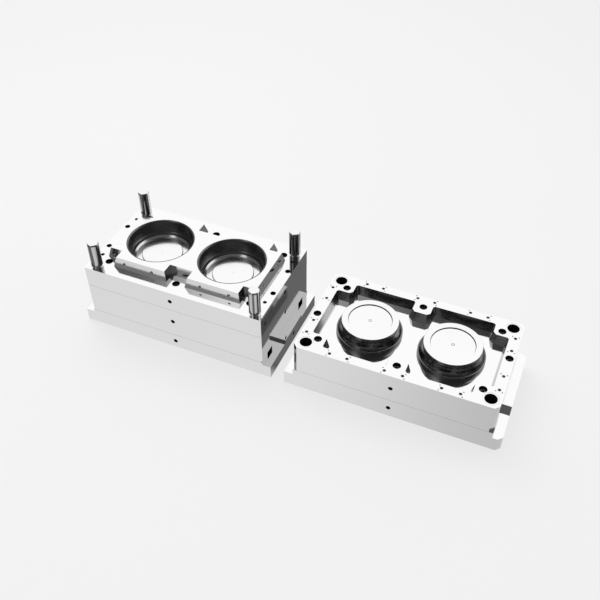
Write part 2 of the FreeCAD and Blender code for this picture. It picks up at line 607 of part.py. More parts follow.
doc.recompute()
os.makedirs("parts", exist_ok=True)
for item in doc.Objects:
    if "Invalid" in item.State or "Error" in item.State:
        raise RuntimeError("%s is %s" % (item.Label, item.State))
for body in parts:
    if body.Shape.isNull() or not body.Shape.isValid():
        raise RuntimeError(body.Label + " has no valid shape")
    body.Shape.exportStep("parts/%s.step" % body.Label)
    print("%-24s %2d solids %12.0f mm3" % (body.Label, len(body.Shape.Solids), body.Shape.Volume))
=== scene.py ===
import json
import math

import bmesh
import bpy
from mathutils import Matrix, Vector


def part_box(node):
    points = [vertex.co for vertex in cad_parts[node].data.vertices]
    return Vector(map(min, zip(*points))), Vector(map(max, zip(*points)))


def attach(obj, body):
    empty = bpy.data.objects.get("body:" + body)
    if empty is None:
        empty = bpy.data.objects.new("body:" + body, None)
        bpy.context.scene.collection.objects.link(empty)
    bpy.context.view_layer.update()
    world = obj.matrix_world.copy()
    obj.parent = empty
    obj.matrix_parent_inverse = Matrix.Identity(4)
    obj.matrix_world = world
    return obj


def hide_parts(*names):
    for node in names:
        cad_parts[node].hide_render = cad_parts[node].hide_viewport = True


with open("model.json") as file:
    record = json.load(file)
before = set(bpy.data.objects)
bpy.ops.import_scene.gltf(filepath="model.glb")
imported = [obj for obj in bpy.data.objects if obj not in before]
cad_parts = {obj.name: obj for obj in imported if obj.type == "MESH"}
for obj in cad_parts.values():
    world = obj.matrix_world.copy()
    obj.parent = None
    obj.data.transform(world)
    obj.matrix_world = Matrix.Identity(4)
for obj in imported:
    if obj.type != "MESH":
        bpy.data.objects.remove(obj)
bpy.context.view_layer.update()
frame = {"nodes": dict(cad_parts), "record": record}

bl_info = {
    "name": "Two-cavity mould base",
    "version": (1, 0, 0),
    "blender": (4, 5, 0),
    "location": "View3D > Sidebar > Mould",
    "description": "Finishes and fine pieces of an open two-cavity mould base",
    "category": "Object",
}

MM = 0.001
MOUNTS = {mount["name"]: mount for mount in frame["record"]["mounts"]}
PLATE_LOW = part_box("cavity_plate")[0]
PLATE_HIGH = Vector((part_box("cavity_plate")[1].x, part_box("cavity_plate")[1].y,
                     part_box("cavity_island")[1].z))
CORE_LOW, CORE_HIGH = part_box("core_plate")
BUSH_AT = [Vector(m["pos_m"]) for name, m in MOUNTS.items() if name.startswith("bush_")]
PIN_AT = [Vector(m["pos_m"]) for name, m in MOUNTS.items() if name.startswith("pillar_")]
PIN_RADIUS = MOUNTS["pillar_front_left"]["dims"]["r_mm"] * MM
CAVITY_REACH = (sum(corner.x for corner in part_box("core_right")) -
                sum(corner.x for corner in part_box("core_left"))) / 4
CAVITY_MIDDLE = (PLATE_LOW.x + PLATE_HIGH.x) / 2
RIM_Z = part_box("cavity_dowels")[1].z + 6 * MM
UP = (0, 0, 1)

# Bores are lined a hair inside the drilled wall with a near-black lining, painted shade in the
# hole: (radius of the lining, its inner radius, depth).
LIFTING_BORE = (0.00698, 0.0066, 0.022)
LOCK_BORE = (0.00848, 0.0081, 0.024)
DOWEL_BORE = (0.00598, 0.0057, 0.0054)
COUNTERBORE = (0.01198, 0.0116, 0.0232)
PAD_COUNTERBORE = (0.00498, 0.0049, 0.0018)
SUNK = 0.0002
LOCK_AT = (0.286, 0.054)
DOWEL_AT = (0.28, 0.099)

# Cap screws: (head radius, head height, shank radius).
PLATE_SCREW = (0.0105, 0.014, 0.007)
PAD_SCREW = (0.0048, 0.003, 0.0029)

CAMERA_AT = (0.6798, -1.5915, 1.7888)
CAMERA_BEARING = 23.14
CAMERA_TILT = 42.91
CAMERA_LENS = 46.77
CAMERA_SENSOR = 36
BACKDROP = 0.945
ROOM = 0.925


# ---- shader expressions --------------------------------------------------

class Wire:
    """One shader socket that can stand in a Python expression."""

    def __init__(self, graph, socket):
        self.graph = graph
        self.socket = socket

    def _join(self, operation, first, second):
        return self.graph.node("ShaderNodeMath", {"operation": operation}, {0: first, 1: second})

    def __add__(self, other):
        return self._join("ADD", self, other)

    def __radd__(self, other):
        return self._join("ADD", other, self)

    def __sub__(self, other):
        return self._join("SUBTRACT", self, other)

    def __rsub__(self, other):
        return self._join("SUBTRACT", other, self)

    def __mul__(self, other):
        return self._join("MULTIPLY", self, other)

    def __rmul__(self, other):
        return self._join("MULTIPLY", other, self)

    def __truediv__(self, other):
        return self._join("DIVIDE", self, other)

    def __abs__(self):
        return self.graph.node("ShaderNodeMath", {"operation": "ABSOLUTE"}, {0: self})

    def __gt__(self, other):
        return self._join("GREATER_THAN", self, other)

    def __lt__(self, other):
        return self._join("LESS_THAN", self, other)


class Graph:
    """A node tree that hands out wires."""

    def __init__(self, tree):
        self.tree = tree
        tree.nodes.clear()

    def node(self, kind, settings=None, inputs=None, output=0):
        """Adds one node: settings first, then socket values or links."""
        made = self.tree.nodes.new(kind)
        for name, value in (settings or {}).items():
            if name == "stops":
                ramp = made.color_ramp
                while len(ramp.elements) < len(value):
                    ramp.elements.new(0.5)
                for element, (place, colour) in zip(ramp.elements, value):
                    element.position = place
                    element.color = (*colour, 1) if len(colour) == 3 else colour
            else:
                setattr(made, name, value)
        for name, value in (inputs or {}).items():
            if isinstance(value, Wire):
                self.tree.links.new(value.socket, made.inputs[name])
            else:
                made.inputs[name].default_value = value
        return Wire(self, made.outputs[output]) if len(made.outputs) else None

    def object_axes(self):
        """Object coordinates as three wires and as one vector."""
        place = self.node("ShaderNodeTexCoord", output="Object")
        axes = [self.node("ShaderNodeSeparateXYZ", None, {0: place}, i) for i in range(3)]
        return place, axes

    def facing(self):
        """The surface's own normal, as three wires."""
        normal = self.node("ShaderNodeNewGeometry", output="Normal")
        return [self.node("ShaderNodeSeparateXYZ", None, {0: normal}, i) for i in range(3)]

    def noise(self, place, scale, stretch=(1, 1, 1), detail=3.0, rough=0.5):
        """Noise on object coordinates, stretched along the axes."""
        mapped = self.node("ShaderNodeMapping", None, {"Vector": place, "Scale": stretch})
        return self.node("ShaderNodeTexNoise", None, {
            "Vector": mapped, "Scale": scale, "Detail": detail, "Roughness": rough})

    def spread(self, value, low, high, to_low=0.0, to_high=1.0):
        """Maps a value between two limits smoothly."""
        return self.node("ShaderNodeMapRange", {"interpolation_type": "SMOOTHSTEP"}, {
            "Value": value, "From Min": low, "From Max": high,
            "To Min": to_low, "To Max": to_high})

    def blend(self, mask, first, second):
        """Mixes two colours."""
        return self.node("ShaderNodeMix", {"data_type": "RGBA"},
                         {0: mask, 6: colour4(first), 7: colour4(second)}, 2)

    def finish(self, shader):
        self.node("ShaderNodeOutputMaterial", None, {"Surface": shader})


def colour4(value):
    return value if isinstance(value, Wire) else (value[0], value[1], value[2], 1.0)


def new_material(name):
    material = bpy.data.materials.new(name)
    material.use_nodes = True
    return material, Graph(material.node_tree)


def shade(tone, factor):
    """The same colour, lighter or darker."""
    return [c * factor for c in tone]


def from_axis(graph, axes, centre):
    """Distance from an upright axis through (x, y)."""
    x = axes[0] - centre[0]
    y = axes[1] - centre[1]
    return graph.node("ShaderNodeMath", {"operation": "SQRT"}, {0: x * x + y * y})


def metal(graph, colour, polish, relief, strength, distance, metallic=1.0):
    """Closes a material with a metal surface and a slight relief."""
    bump = graph.node("ShaderNodeBump", None, {
        "Strength": strength, "Distance": distance, "Height": relief})
    graph.finish(graph.node("ShaderNodeBsdfPrincipled", None, {
        "Base Color": colour, "Metallic": metallic, "Roughness": polish, "Normal": bump}))


def bands(graph, height, levels, half):
    """A mask that is 1 within a thin band about each level."""
    total = None
    for level in levels:
        mask = graph.spread(abs(height - level), half * 0.6, half * 1.4, 1.0, 0.0)
        total = mask if total is None else graph.node(
            "ShaderNodeMath", {"operation": "MAXIMUM"}, {0: total, 1: mask})
    return total


def plate_finish(name, tone, seams, front_shade=0.98, end_shade=0.4, pocket=None, rough=0.07, rings=()):
    """Ground steel: lapped tops, ground sides and a dark joint line between plates.
    The sides carry painted shade: a little darker on the long faces, much darker on the ends.

    pocket is the centre along X, the half length and the half width of a pocket cut by milling,
    whose walls carry painted shade;
    rings are the (centre along X, radius) of thin dark rings painted on the lapped top.
    """
    material, graph = new_material(name)
    place, axes = graph.object_axes()
    facing = graph.facing()
    upright = graph.spread(abs(facing[2]), 0.55, 0.75, 1.0, 0.0)
    sideways = graph.spread(abs(facing[0]), 0.72, 0.95)
    grain = (1, 14, 14)
    lines = graph.noise(place, 60, grain, 4, 0.6)
    cloud = graph.noise(place, 9, (1, 1, 1), 3, 0.5)
    fleck = graph.noise(place, 240, (1, 1, 1), 2, 0.5)
    pale = graph.blend(cloud, shade(tone, 0.985), tone)
    stain = graph.spread(cloud * fleck, 0.36, 0.5)
    pale = graph.blend(stain * 0.06, pale, (0.55, 0.54, 0.52))
    # Painted shade on upright faces: the long faces a little darker than the tops, faces along X
    # (the plate ends) much darker.
    ground = graph.blend(cloud, shade(tone, front_shade * 0.97), shade(tone, front_shade))
    ground = graph.blend(sideways, ground, shade(tone, end_shade))
    polish = graph.spread(lines, 0.3, 0.7, rough * 0.7, rough * 1.4)
    if pocket is not None:
        inside = (abs(axes[0] - pocket[0]) < pocket[1]) * (abs(axes[1]) < pocket[2])
        # Painted shade on the pocket walls: 0.34 of the tone on the long walls, 0.5 on the walls
        # along X.
        pocket_wall_shade = graph.blend(sideways, shade(tone, 0.34), shade(tone, 0.5))
        ground = graph.blend(inside, ground, pocket_wall_shade)
        polish = polish + inside * upright * 0.13
    if seams:
        joint = bands(graph, axes[2], seams, 0.5 * MM)
        ground = graph.blend(joint * 0.6, ground, (0.08, 0.08, 0.085))
    # Thin dark rings painted on the top round each given centre: colour, not geometry.
    for middle, radius in rings:
        reach = from_axis(graph, axes, (middle, 0))
        pale = graph.blend(bands(graph, reach, [radius], 1.2 * MM), pale, (0.06, 0.06, 0.06))
    pale = graph.blend(upright, pale, ground)
    metal(graph, pale, polish, lines, 0.02, 0.0002)
    return material


def lathe_finish(name, tone, rough, ring_scale=900, centre=(0, 0), side_painted_shading=0.35, flat=None):
    """Turned and polished steel: very fine tool rings, and painted shade on upright faces.

    flat is the pair of heights between which level faces stay pale; outside it level faces take the
    painted shade too.
    """
    material, graph = new_material(name)
    place, axes = graph.object_axes()
    radius = from_axis(graph, axes, centre)
    along = graph.node("ShaderNodeCombineXYZ", None, {0: radius, 1: axes[2], 2: 0.0})
    rings = graph.node("ShaderNodeTexNoise", None, {
        "Vector": along, "Scale": float(ring_scale), "Detail": 3.0})
    cloud = graph.noise(place, 14, (1, 1, 1), 3, 0.5)
    painted_wall_shade = shade(tone, side_painted_shading)
    colour = graph.blend(cloud * 0.05, tone, painted_wall_shade)
    upright = graph.spread(abs(graph.facing()[2]), 0.5, 0.85, 1.0, 0.0)
    if flat is not None:
        level = (axes[2] > flat[0]) * (axes[2] < flat[1])
        upright = 1.0 - (1.0 - upright) * level
    # Painted shade: upright faces, and level faces outside flat, take a darker copy of the tone.
    colour = graph.blend(upright, colour, graph.blend(cloud, painted_wall_shade, shade(painted_wall_shade, 0.8)))
    polish = graph.spread(rings, 0.3, 0.7, rough * 0.8, rough * 1.2) + upright * rough
    metal(graph, colour, polish, rings, 0.03, 0.0001)
    return material


def pillar_finish(name, tone, rough):
    """Ground and polished pillar steel: grinding streaks in the roughness and relief, and painted
    reflections, long light and dark streaks, on the upright faces.
    """
    material, graph = new_material(name)
    place, axes = graph.object_axes()
    grind_and_reflection_streak = graph.noise(place, 130, (1, 1, 0.015), 2, 0.5)
    cloud = graph.noise(place, 20, (1, 1, 1), 3, 0.5)
    upright = graph.spread(abs(graph.facing()[2]), 0.5, 0.85, 1.0, 0.0)
    # Painted reflections on the upright faces: dark (0.16) and light (0.75) streaks, also painted
    # shade against the pale tops.
    side_painted_shading = graph.blend(graph.spread(grind_and_reflection_streak, 0.5, 0.6), shade(tone, 0.16), shade(tone, 0.75))
    colour = graph.blend(upright, graph.blend(cloud * 0.05, tone, shade(tone, 0.5)), side_painted_shading)
    polish = graph.spread(grind_and_reflection_streak, 0.3, 0.7, rough * 0.7, rough * 1.4)
    metal(graph, colour, polish, grind_and_reflection_streak, 0.02, 0.0001)
    return material


def oxide_finish(name, tone, rough, metallic=0.8, scale=300):
    """Blackened or plain small steel: mottled colour with a slight grain."""
    material, graph = new_material(name)
    place, axes = graph.object_axes()
    grain = graph.noise(place, scale, (1, 1, 1), 4, 0.6)
    cloud = graph.noise(place, 40, (1, 1, 1), 3, 0.5)
    lighter = [min(1, c) for c in shade(tone, 1.35)]
    colour = graph.blend(grain * cloud, shade(tone, 0.75), lighter)
    polish = graph.spread(grain, 0.3, 0.7, rough * 0.8, rough * 1.25)
    metal(graph, colour, polish, grain, 0.15, 0.0002, metallic)
    return material


# ---- modelling helpers ---------------------------------------------------

CREASE = math.radians(28)


def close_piece(bm, name, body, material):
    """Turns a finished bmesh into a piece that rides on a body."""
    bmesh.ops.remove_doubles(bm, verts=bm.verts, dist=1e-7)
    bmesh.ops.recalc_face_normals(bm, faces=bm.faces)
    for face in bm.faces:
        face.smooth = True
    for edge in bm.edges:
        edge.smooth = edge.calc_face_angle(math.pi) < CREASE
    mesh = bpy.data.meshes.new(name)
    bm.to_mesh(mesh)
    bm.free()
    piece = bpy.data.objects.new(name, mesh)
    bpy.context.scene.collection.objects.link(piece)
    mesh.materials.append(material)
    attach(piece, body)
    return piece


def turn(bm, profile, centre, steps=96):
    """Spins a closed profile of (radius, height) round an upright axis."""
    corners = [bm.verts.new((centre[0] + r, centre[1], z)) for r, z in profile]
    count = len(corners)
    rims = [bm.edges.new((corners[i], corners[(i + 1) % count])) for i in range(count)]
    bmesh.ops.spin(bm, geom=corners + rims, cent=(centre[0], centre[1], 0), axis=(0, 0, 1),
                   dvec=(0, 0, 0), angle=2 * math.pi, steps=steps, use_merge=True)
    bmesh.ops.remove_doubles(bm, verts=bm.verts, dist=1e-7)


def soften(bm, offset, segments=2, above=30):
    """Rounds every edge sharper than a given angle."""
    sharp = [edge for edge in bm.edges
             if len(edge.link_faces) == 2 and edge.calc_face_angle(0) > math.radians(above)]
    bmesh.ops.bevel(bm, geom=sharp, offset=offset, offset_type="OFFSET", affect="EDGES",
                    segments=segments, profile=0.5, material=-1, clamp_overlap=True)


def add(bm, part):
    """Adds a finished part to a larger piece, and frees it."""
    holder = bpy.data.meshes.new("part")
    part.to_mesh(holder)
    part.free()
    bm.from_mesh(holder)
    bpy.data.meshes.remove(holder)


def ring_of(bm, centre, radius, z, count):
    """One closed loop of edges."""
    made = bmesh.ops.create_circle(bm, cap_ends=False, radius=radius, segments=count,
                                   matrix=Matrix.Translation((centre[0], centre[1], z)))
    return list({edge for vert in made["verts"] for edge in vert.link_edges})


def raise_loop(bm, edges, height, factor, centre):
    """Extrudes a loop straight up or down and scales it about its centre."""
    made = bmesh.ops.extrude_edge_only(bm, edges=edges)["geom"]
    verts = [item for item in made if isinstance(item, bmesh.types.BMVert)]
    bmesh.ops.translate(bm, verts=verts, vec=(0, 0, height))
    if factor != 1:
        bmesh.ops.scale(bm, verts=verts, vec=(factor, factor, 1),
                        space=Matrix.Translation((-centre[0], -centre[1], 0)))
    return [item for item in made if isinstance(item, bmesh.types.BMEdge)
            and item.verts[0] in verts and item.verts[1] in verts]


def socket_head(bm, centre, top, size):
    """A socket cap screw seen from above: chamfered head with a hexagon socket."""
    radius, height, shank = size
    lip = radius * 0.09
    rim = ring_of(bm, centre, radius, top - height, 40)
    under = raise_loop(bm, rim, -0.0001, shank / radius, centre)
    tip = raise_loop(bm, under, -height, 1, centre)
    bmesh.ops.edgeloop_fill(bm, edges=tip)
    rim = raise_loop(bm, rim, height - lip, 1, centre)
    rim = raise_loop(bm, rim, lip, 1 - lip / radius, centre)
    hexagon = ring_of(bm, centre, radius * 0.52, top, 6)
    bmesh.ops.bridge_loops(bm, edges=rim + hexagon)
    floor = raise_loop(bm, hexagon, -height * 0.5, 1, centre)
    bmesh.ops.edgeloop_fill(bm, edges=floor)


def solids(node):
    """The boxes of the separate solids that one CAD node holds."""
    bm = bmesh.new()
    bm.from_mesh(frame["nodes"][node].data)
    bmesh.ops.remove_doubles(bm, verts=bm.verts, dist=1e-6)
    left = set(bm.verts)
    boxes = []
    while left:
        waiting = [left.pop()]
        found = []
        while waiting:
            vert = waiting.pop()
            found.append(vert.co.copy())
            for edge in vert.link_edges:
                other = edge.other_vert(vert)
                if other in left:
                    left.remove(other)
                    waiting.append(other)
        low = Vector([min(co[i] for co in found) for i in range(3)])
        high = Vector([max(co[i] for co in found) for i in range(3)])
        boxes.append((low, high))
    bm.free()
    return sorted(boxes, key=lambda pair: tuple(pair[0]))


def centres(node):
    """The (x, y) of the middle of each solid of one CAD node."""
    return [((low.x + high.x) / 2, (low.y + high.y) / 2) for low, high in solids(node)]


def paint(node, material):
    """Gives a CAD node one finish."""
    materials = frame["nodes"][node].data.materials
    materials.clear()
    materials.append(material)


def tube(bm, centre, axis, size, steps=36, blind=True):
    """A sleeve that lines a drilled hole: wall, mouth and, in a blind hole, the bottom."""
    radius, inner, depth = size
    part = bmesh.new()
    point = [(0, -depth - inner * 0.5), (0, -depth - inner * 0.5 - 0.0004)] if blind else []
    turn(part, [(radius, 0), (inner, -0.0003), (inner, -depth), *point, (radius, -depth)],
         (0, 0), steps)
    target = Vector(axis).to_track_quat("Z", "Y").to_matrix().to_4x4()
    bmesh.ops.transform(part, matrix=Matrix.Translation(centre) @ target, verts=part.verts)
    add(bm, part)


def disc(bm, centre, axis, radius, proud):
    """A thin hexagonal disc on a small screw head; with the dark lining material it is painted
    shade in place of the socket.
    """
    target = Vector(axis).to_track_quat("Z", "Y").to_matrix().to_4x4()
    bmesh.ops.create_cone(bm, cap_ends=True, cap_tris=False, segments=6, radius1=radius,
                          radius2=radius, depth=proud * 2,
                          matrix=Matrix.Translation(centre) @ target)


# ---- settings ------------------------------------------------------------

class MouldFinish(bpy.types.PropertyGroup):
    """Colours of the mould's steels."""
    plate: bpy.props.FloatVectorProperty(
        name="Plate steel", description="Ground and lapped plates", subtype="COLOR",
        size=3, min=0, max=1, default=(0.93, 0.93, 0.93))
    form: bpy.props.FloatVectorProperty(
        name="Moulding faces", description="Polished cores and cavities", subtype="COLOR",
        size=3, min=0, max=1, default=(0.93, 0.93, 0.932))
    pillar: bpy.props.FloatVectorProperty(
        name="Pillars", description="Hardened and ground guide pillars", subtype="COLOR",
        size=3, min=0, max=1, default=(0.9, 0.9, 0.91))
    screw: bpy.props.FloatVectorProperty(
        name="Screws", description="Blackened screws", subtype="COLOR",
        size=3, min=0, max=1, default=(0.05, 0.05, 0.052))
    # Colour of the hole linings: near-black painted shade.
    bore_shade: bpy.props.FloatVectorProperty(
        name="Bores", description="Inside of drilled and tapped holes", subtype="COLOR",
        size=3, min=0, max=1, default=(0.03, 0.03, 0.032))


class MouldSizes(bpy.types.PropertyGroup):
    """Fine sizes that the solids leave out."""
    skin: bpy.props.FloatProperty(
        name="Skin", description="Thickness of the polished cavity skin", unit="LENGTH",
        default=0.0003, min=0.0001, max=0.001)


def finishes():
    return bpy.context.scene.mould_finish


def sizes():
    return bpy.context.scene.mould_sizes


def made(name, build):
    """Fetches a material, or builds it the first time."""
    return bpy.data.materials.get(name) or build()


def screw_steel():
    return made("black_screw", lambda: oxide_finish("black_screw", finishes().screw, 0.38))


# Material of the hole linings and socket discs: painted shade.
def bore_shade_lining():
    return made("bore_painted_shade", lambda: oxide_finish("bore_painted_shade", finishes().bore_shade, 0.6, 0.3))


# ---- operators -----------------------------------------------------------

class MOULD_OT_plates(bpy.types.Operator):
    """Grinds the plates of both halves"""
    bl_idname = "mould.plates"
    bl_label = "Plates"

    def execute(self, context):
        tone = finishes().plate
        seam_a = PLATE_LOW.z
        clamp_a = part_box("cavity_clamp_plate")[1].z
        clamp_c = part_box("core_clamp_plate")[1].z
        # Plates take the default painted shade: 0.98 of the tone on the long faces, 0.4 on the
        # ends.
        cavity = plate_finish("plate_steel_cavity", tone, [seam_a, clamp_a])
        middle = (CORE_LOW.x + CORE_HIGH.x) / 2
        core = plate_finish("plate_steel_core", tone, [clamp_c], pocket=(
            middle, CORE_HIGH.x - middle - 0.03, CORE_HIGH.y - 0.028))
        # Centres and radius of the thin dark rings painted round the cavity mouths.
        mouth = [(CAVITY_MIDDLE + sign * CAVITY_REACH, 105.2 * MM) for sign in (-1, 1)]
        # Island: painted shade of 0.93 on its long faces and 0.15 on its ends.
        paint("cavity_island", plate_finish("plate_steel_island", tone, [], 0.93, 0.15,
                                            rough=0.12, rings=mouth))
        for node in ("cavity_plate", "manifold_plate", "cavity_clamp_plate", "locating_ring"):
            paint(node, cavity)
        for node in ("core_plate", "core_clamp_plate"):
            paint(node, core)
        # Wear steel: painted shade of 0.9 on the long faces and 0.15 on the ends.
        wear = plate_finish("wear_steel", tone, [], 0.9, 0.15, rough=0.12)
        for node in ("wear_plates_long", "wear_plates_end", "parting_pads"):
            paint(node, wear)
        return {"FINISHED"}


class MOULD_OT_cavities(bpy.types.Operator):
    """Polishes the two round cavities"""
    bl_idname = "mould.cavities"
    bl_label = "Cavities"

    def execute(self, context):
        top = PLATE_HIGH.z
        skin = sizes().skin
        for name, sign in (("left", -1), ("right", 1)):
            centre = (CAVITY_MIDDLE + sign * CAVITY_REACH, 0)
            wall = [(104, 0), (101.2, 3), (96.5, 18.5), (93.5, 37), (90.5, 40),
                    (88, 47), (82.5, 52), (65, 52), (63, 48), (1.5, 48)]
            inside = [(r * MM - skin, top - d * MM + skin * 0.5) for r, d in wall]
            outside = [(r * MM, top - d * MM - skin * 0.5) for r, d in reversed(wall)]
            inside[0] = (104 * MM - skin, top - 0.00005)
            outside[-1] = (104 * MM - skin * 0.5, top - 0.0004)
            bm = bmesh.new()
            turn(bm, inside + outside, centre, 128)
            floor = top - 52 * MM
            # Cavity skins: strong painted shade (0.2 of the tone) on the walls and steps; only
            # level faces near the floor stay pale.
            material = lathe_finish("cavity_polish_" + name, finishes().form, 0.15, centre=centre,
                                    side_painted_shading=0.2, flat=(floor - MM, floor + 6 * MM))
            close_piece(bm, "cavity_skin_" + name, "cavity_half", material)
        return {"FINISHED"}


class MOULD_OT_cores(bpy.types.Operator):
    """Turns and polishes the two cores"""
    bl_idname = "mould.cores"
    bl_label = "Cores"

    def execute(self, context):
        for name in ("left", "right"):
            low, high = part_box("core_" + name)
            centre = ((low.x + high.x) / 2, (low.y + high.y) / 2)
            top = high.z
            foot = top - 48 * MM
            shape = [(78, foot - 22 * MM), (94, foot - 22 * MM), (94, foot + 12 * MM),
                     (91, foot + 15 * MM), (88.5, foot + 20 * MM), (86.8, foot + 27 * MM),
                     (86, foot + 34 * MM), (85.5, foot + 38 * MM), (84, foot + 39 * MM),
                     (84, foot + 43 * MM), (84.8, foot + 43.5 * MM), (84.8, top - 0.001),
                     (84, top), (65.5, top), (64, top - 0.004), (5, top - 0.004),
                     (2.8, top - 0.0082), (2.8, top - 0.03), (9, top - 0.03), (9, low.z),
                     (77.9, low.z)]
            bm = bmesh.new()
            turn(bm, [(r * MM, z) for r, z in shape], centre, 160)
            soften(bm, 0.0004, 2, 25)
            # Cores: strong painted shade (0.18 of the tone) on the walls and lower steps; only
            # level faces within 6 mm of the top stay pale.
            material = lathe_finish("core_polish_" + name, finishes().form, 0.09, centre=centre,
                                    side_painted_shading=0.18, flat=(top - 6 * MM, top + MM))
            piece = close_piece(bm, "core_form_" + name, "core_half", material)
            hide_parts("core_" + name)
        return {"FINISHED"}


class MOULD_OT_rings(bpy.types.Operator):
    """Turns the stripper rings and the air valves"""
    bl_idname = "mould.rings"
    bl_label = "Stripper rings and air valves"

    def execute(self, context):
        for name in ("left", "right"):
            low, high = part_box("stripper_ring_" + name)
            centre = ((low.x + high.x) / 2, (low.y + high.y) / 2)
            outer = (high.x - low.x) / 2
            bm = bmesh.new()
            turn(bm, [(outer, low.z), (outer, high.z), (94.3 * MM, high.z),
                      (94.3 * MM, low.z)], centre, 160)
            soften(bm, 0.0009, 3)
            # Stripper rings: painted dark (0.24 of white, walls 0.6 of that), painted shade.
            material = lathe_finish("ring_steel_" + name, (0.24, 0.24, 0.245), 0.15,
                                    centre=centre, side_painted_shading=0.6)
            piece = close_piece(bm, "stripping_ring_" + name, "ring_" + name,
                                material)
            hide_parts("stripper_ring_" + name)
            low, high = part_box("air_valve_" + name)
            bm = bmesh.new()
            turn(bm, [(0, low.z), (0.006, low.z), (0.006, low.z + 0.0059),
                      (0.0022, low.z + 0.0059), (0.0022, high.z - 0.0036),
                      (0.0039, high.z - 0.0006), (0.0039, high.z), (0, high.z)], centre, 48)
            soften(bm, 0.0002, 2)
            # Poppets: upright faces take the default painted shade (0.35 of the tone).
            material = lathe_finish("valve_steel_" + name, (0.85, 0.85, 0.86), 0.1,
                                    centre=centre)
            piece = close_piece(bm, "poppet_" + name, "valve_" + name, material)
            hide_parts("air_valve_" + name)
        return {"FINISHED"}


class MOULD_OT_pillars(bpy.types.Operator):
    """Turns the guide pillars and their bushes"""
    bl_idname = "mould.pillars"
    bl_label = "Guide pillars and bushes"

    def execute(self, context):
        low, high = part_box("guide_pillars")
        r = PIN_RADIUS
        bm = bmesh.new()
        for at in PIN_AT:
            part = bmesh.new()
            profile = [(0, low.z), (0.0239, low.z), (0.0239, low.z + 0.008),
                       (0.021, low.z + 0.008), (0.021, RIM_Z - 0.0001), (r, RIM_Z - 0.0001)]
            profile += [(r, high.z - 0.004), (r - 0.0018, high.z - 0.0008),
                        (r - 0.003, high.z), (0, high.z)]
            turn(part, profile, (at.x, at.y), 64)
            soften(part, 0.0003, 2)
            add(bm, part)
        steel = pillar_finish("pillar_steel", finishes().pillar, 0.1)
        piece = close_piece(bm, "pillar_set", "cavity_half", steel)
        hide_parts("guide_pillars")

        low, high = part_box("guide_bushes")
        bm = bmesh.new()
        for at in BUSH_AT:
            part = bmesh.new()
            turn(part, [(0.0229, low.z), (0.0229, high.z - 0.0003), (0.0226, high.z - 0.00005),
                        (r + 0.0006, high.z - 0.00005), (r + 0.0001, high.z - 0.002),
                        (r + 0.0001, low.z)], (at.x, at.y), 64)
            soften(part, 0.0002, 2)
            add(bm, part)
        # Bushes: upright faces take the default painted shade (0.35 of the tone).
        steel = lathe_finish("bush_steel", finishes().plate, 0.08, 400)
        piece = close_piece(bm, "bush_set", "core_half", steel)
        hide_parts("guide_bushes")
        bm = bmesh.new()
        # Near-black linings in the bush bores: painted shade.
        for at in BUSH_AT:
            tube(bm, (at.x, at.y, high.z - 0.0006), UP,
                 (r - 0.00002, r - 0.0003, high.z - low.z - 0.006), 48)
        close_piece(bm, "bush_bores", "core_half", bore_shade_lining())
        return {"FINISHED"}


class MOULD_OT_screws(bpy.types.Operator):
    """Makes the socket cap screws and the pad screws"""
    bl_idname = "mould.screws"
    bl_label = "Screws"

    def execute(self, context):
        for name, node, body, size in (
                ("cavity_cap_screws", "cavity_plate_screws", "cavity_half", PLATE_SCREW),
                ("core_cap_screws", "core_plate_screws", "core_half", PLATE_SCREW),
                ("pad_cap_screws", "pad_screws", "core_half", PAD_SCREW)):
            bm = bmesh.new()
            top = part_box(node)[1].z
            for centre in centres(node):
                socket_head(bm, centre, top, size)
            piece = close_piece(bm, name, body, screw_steel())
            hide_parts(node)
        for node in ("island_screws", "cavity_clamp_screws", "core_screws",
                     "locating_ring_screws"):
            paint(node, screw_steel())
        paint("wear_plate_screws", bpy.data.materials["wear_steel"])
        # Each wear plate screw gets a thin dark hexagonal disc: painted shade in place of its
        # socket.
        bm = bmesh.new()
        for low, high in solids("wear_plate_screws"):
            middle = (low + high) / 2
            along = 1 if high.y - low.y > high.x - low.x else 0
            inside = 0 if along else CAVITY_MIDDLE
            outward = 1 if middle[along] > inside else -1
            axis = Vector((0, outward, 0)) if along else Vector((outward, 0, 0))
            middle[along] = high[along] if outward > 0 else low[along]
            disc(bm, middle, axis, 0.0024, 0.0001)
        close_piece(bm, "wear_screw_socket_shades", "cavity_half", bore_shade_lining())
        return {"FINISHED"}


